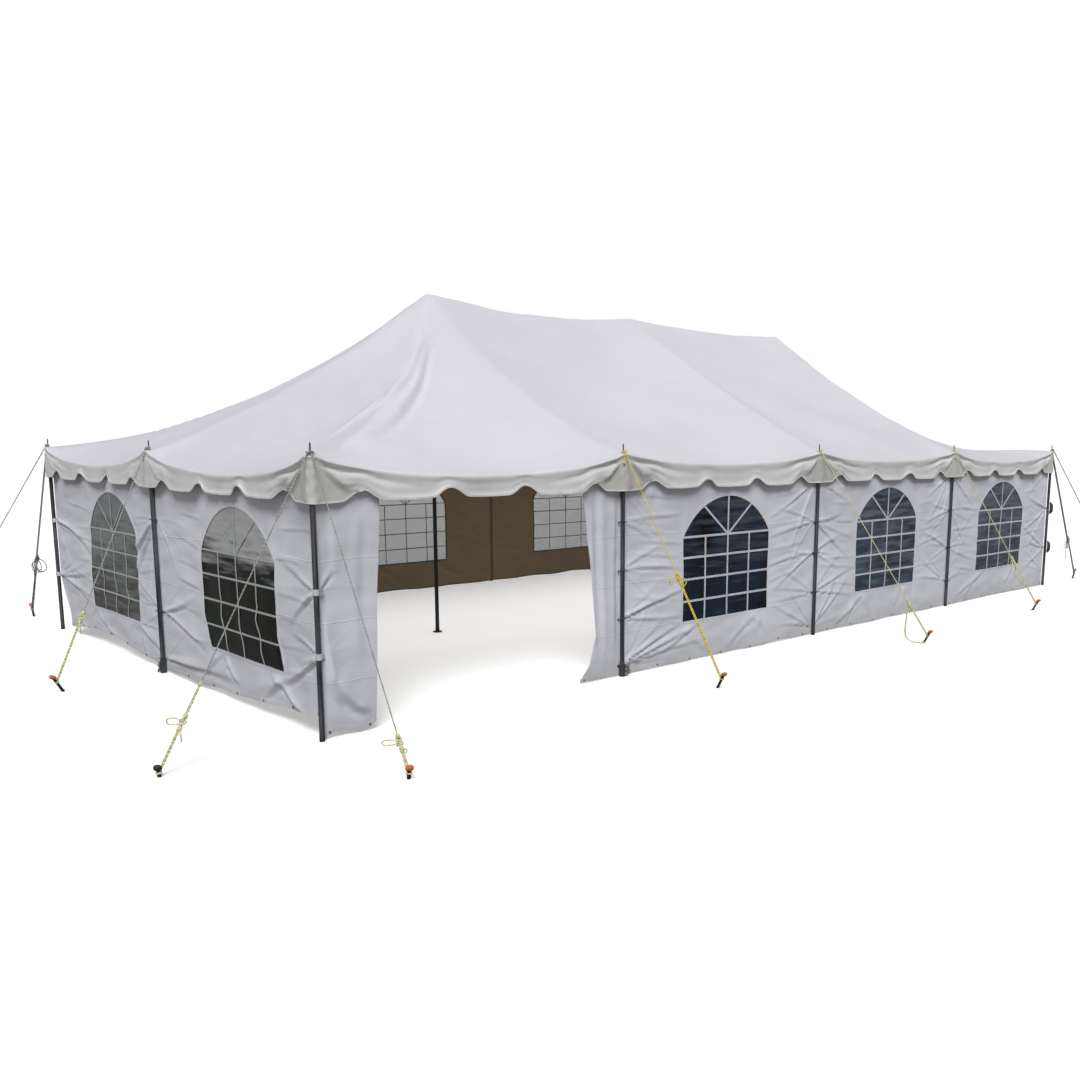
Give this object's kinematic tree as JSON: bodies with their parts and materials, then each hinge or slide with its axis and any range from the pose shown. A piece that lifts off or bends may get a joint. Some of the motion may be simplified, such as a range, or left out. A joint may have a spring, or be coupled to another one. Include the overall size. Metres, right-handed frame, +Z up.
{
  "type": "pole marquee tent",
  "caption": "Rectangular pole marquee with a peaked sheet roof, scalloped valance, window walls, an open door bay, side poles and staked guy ropes.",
  "frame": {"origin": "on the ground, under the middle of the tent's plan", "axes": "+X along the ridge towards the end away from the door bay, -Y out of the front with the door bay, +Z up"},
  "size_m": [14.628, 8.532, 3.74],
  "materials": {
    "roof_sheet": "coated polyester, slight sheen",
    "wall_sheet": "coated polyester, slight sheen, fold creases",
    "window_vinyl": "clear flexible vinyl, wavy",
    "window_bars": "white tape sewn over the vinyl",
    "pole_steel": "weathered galvanised steel tube",
    "guy_rope": "laid rope, weathered",
    "stake_steel": "black painted bar",
    "stake_cap": "moulded orange cap",
    "tie_webbing": "woven strap"
  },
  "bodies": {
    "root": {"roof_canopy": "roof_sheet", "valance_front": "roof_sheet", "valance_back": "roof_sheet", "valance_left": "roof_sheet", "valance_right": "roof_sheet", "front_wall": "wall_sheet", "back_wall": "wall_sheet", "left_wall": "wall_sheet", "right_wall": "wall_sheet", "door_flap": "wall_sheet", "front_window_1": "window_vinyl", "front_window_2": "window_vinyl", "front_window_3": "window_vinyl", "back_window_1": "window_vinyl", "back_window_2": "window_vinyl", "back_window_3": "window_vinyl", "back_window_4": "window_vinyl", "left_window_1": "window_vinyl", "left_window_2": "window_vinyl", "right_window_1": "window_vinyl", "right_window_2": "window_vinyl", "side_pole_front_left_corner": "pole_steel", "side_pole_front_1": "pole_steel", "side_pole_front_2": "pole_steel", "side_pole_front_3": "pole_steel", "side_pole_front_right_corner": "pole_steel", "side_pole_back_left_corner": "pole_steel", "side_pole_back_1": "pole_steel", "side_pole_back_2": "pole_steel", "side_pole_back_3": "pole_steel", "side_pole_back_right_corner": "pole_steel", "side_pole_left_middle": "pole_steel", "side_pole_right_middle": "pole_steel", "centre_pole_1": "pole_steel", "centre_pole_2": "pole_steel", "centre_pole_3": "pole_steel", "guy_front_left_corner_across": "guy_rope", "guy_front_left_corner_along": "guy_rope", "guy_front_right_corner_across": "guy_rope", "guy_front_right_corner_along": "guy_rope", "guy_back_left_corner_across": "guy_rope", "guy_back_left_corner_along": "guy_rope", "guy_back_right_corner_across": "guy_rope", "guy_back_right_corner_along": "guy_rope", "guy_front_1": "guy_rope", "guy_front_2": "guy_rope", "guy_front_3": "guy_rope", "guy_back_1": "guy_rope", "guy_back_2": "guy_rope", "guy_back_3": "guy_rope", "guy_left_middle": "guy_rope", "guy_right_middle": "guy_rope"}
  },
  "joints": []
}
